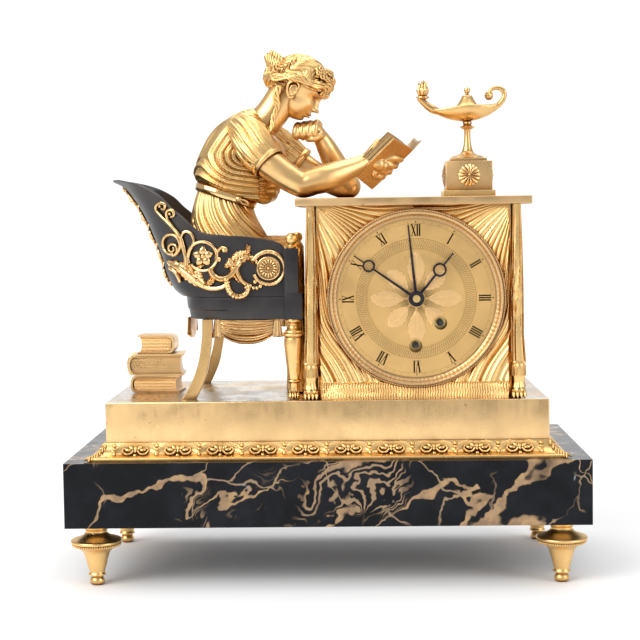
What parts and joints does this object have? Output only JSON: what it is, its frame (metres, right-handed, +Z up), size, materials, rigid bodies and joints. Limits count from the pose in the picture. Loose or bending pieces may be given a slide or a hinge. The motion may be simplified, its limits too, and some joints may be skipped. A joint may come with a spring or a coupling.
{
  "type": "mantel clock",
  "caption": "Figural mantel clock: a robed reader in a gondola chair at a draped desk holding the dial, with an oil lamp and books, on a gilt plinth and marble slab with turned feet.",
  "frame": {"origin": "centre of the footprint, on the surface the feet stand on", "axes": "+Z up, +Y to the back, +X to the right of the dial"},
  "size_m": [0.31, 0.15, 0.3252],
  "materials": {
    "gilt_bronze": "mercury gilt, matt with burnished highlights",
    "patinated_bronze": "dark brown-grey patina, satin",
    "black_marble": "polished black marble with tan and gold veins",
    "steel": "brushed",
    "blued_steel": "heat blued, polished",
    "polished_brass": "polished",
    "gilt_dial": "engine turned and gilt, matt"
  },
  "bodies": {
    "case": {"marble_base": "black_marble", "foot_front_left": "gilt_bronze", "foot_front_right": "gilt_bronze", "foot_rear_left": "gilt_bronze", "foot_rear_right": "gilt_bronze", "plinth_box": "gilt_bronze", "plinth_moulding": "gilt_bronze", "plinth_bolts": "steel", "desk_top": "gilt_bronze", "desk_front_panel": "gilt_bronze", "desk_left_panel": "gilt_bronze", "desk_right_panel": "gilt_bronze", "desk_back_panel": "gilt_bronze", "desk_legs_front": "gilt_bronze", "desk_legs_rear": "gilt_bronze", "door_hinge_pin": "steel", "bezel": "gilt_bronze", "dial": "gilt_dial", "front_plate": "polished_brass", "back_plate": "polished_brass", "movement_straps": "polished_brass", "suspension_cock": "polished_brass", "bell": "polished_brass", "chair_shell": "patinated_bronze", "chair_seat_rail": "patinated_bronze", "chair_posts": "patinated_bronze", "chair_finials": "gilt_bronze", "chair_front_legs": "gilt_bronze", "chair_rear_legs": "gilt_bronze", "chair_side_mounts": "gilt_bronze", "chair_back_mount": "gilt_bronze", "seat_swags": "gilt_bronze", "figure_torso": "gilt_bronze", "figure_skirt": "gilt_bronze", "figure_head": "gilt_bronze", "figure_near_arm": "gilt_bronze", "figure_far_arm": "gilt_bronze", "open_book": "gilt_bronze", "book_bottom": "gilt_bronze", "book_middle": "gilt_bronze", "book_top": "gilt_bronze", "lamp_pedestal": "gilt_bronze", "lamp_stem": "gilt_bronze", "lamp_bowl": "gilt_bronze", "lamp_lid": "gilt_bronze"},
    "minute": {"centre_arbor": "steel", "minute_hand": "blued_steel"},
    "hour": {"hour_wheel": "polished_brass", "hour_hand": "blued_steel"},
    "motion": {"minute_wheel": "polished_brass"},
    "alarm_setting": {"alarm_hand": "blued_steel"},
    "alarm_winding": {"alarm_arbor": "steel"},
    "barrel": {"going_barrel": "polished_brass"},
    "winding": {"going_arbor": "steel"},
    "third": {"third_wheel": "polished_brass"},
    "escape": {"escape_wheel": "polished_brass"},
    "pallets": {"anchor": "steel"},
    "pendulum": {"pendulum": "polished_brass"},
    "striker": {"hammer": "steel"},
    "door": {"rear_door": "polished_brass"}
  },
  "joints": [
    {"name": "minute_turn", "type": "hinge", "parent": "case", "child": "minute", "pos_m": [0.054, -0.04, 0.1694], "axis": [0, 1, 0], "continuous": true},
    {"name": "hour_turn", "type": "hinge", "parent": "case", "child": "hour", "pos_m": [0.054, -0.05, 0.1694], "axis": [0, 1, 0], "continuous": true},
    {"name": "motion_turn", "type": "hinge", "parent": "case", "child": "motion", "pos_m": [0.054, -0.048, 0.1794], "axis": [0, 1, 0], "continuous": true},
    {"name": "barrel_turn", "type": "hinge", "parent": "case", "child": "barrel", "pos_m": [0.0683, -0.025, 0.1545], "axis": [0, 1, 0], "continuous": true},
    {"name": "third_turn", "type": "hinge", "parent": "case", "child": "third", "pos_m": [0.04306, -0.03, 0.18034], "axis": [0, 1, 0], "continuous": true},
    {"name": "escape_turn", "type": "hinge", "parent": "case", "child": "escape", "pos_m": [0.054, -0.025, 0.18825], "axis": [0, 1, 0], "continuous": true},
    {"name": "winding_turn", "type": "hinge", "parent": "case", "child": "winding", "pos_m": [0.0683, -0.04, 0.1545], "axis": [0, 1, 0], "continuous": true},
    {"name": "alarm_winding_turn", "type": "hinge", "parent": "case", "child": "alarm_winding", "pos_m": [0.0535, -0.045, 0.141], "axis": [0, 1, 0], "continuous": true},
    {"name": "alarm_setting_turn", "type": "hinge", "parent": "hour", "child": "alarm_setting", "pos_m": [0.054, -0.054, 0.1694], "axis": [0, 1, 0], "continuous": true},
    {"name": "pendulum_swing", "type": "hinge", "parent": "case", "child": "pendulum", "pos_m": [0.054, -0.005, 0.2082], "axis": [0, 1, 0], "range_deg": [-4, 4]},
    {"name": "pallet_swing", "type": "hinge", "parent": "case", "child": "pallets", "pos_m": [0.054, -0.02, 0.19955], "axis": [0, 1, 0], "range_deg": [-6, 6]},
    {"name": "hammer_swing", "type": "hinge", "parent": "case", "child": "striker", "pos_m": [0.027, -0.01, 0.1634], "axis": [0, 1, 0], "range_deg": [-6, 10]},
    {"name": "door_swing", "type": "hinge", "parent": "case", "child": "door", "pos_m": [0.104, 0.0526, 0.1694], "axis": [0, 0, -1], "range_deg": [0, 110]}
  ],
  "couplings": [
    {"joint": "hour_turn", "follows": "minute_turn", "ratio": 0.083333},
    {"joint": "motion_turn", "follows": "minute_turn", "ratio": -0.33333},
    {"joint": "barrel_turn", "follows": "minute_turn", "ratio": -0.1},
    {"joint": "third_turn", "follows": "minute_turn", "ratio": -12},
    {"joint": "escape_turn", "follows": "minute_turn", "ratio": 168},
    {"joint": "pallet_swing", "follows": "pendulum_swing", "ratio": 1.2605}
  ]
}
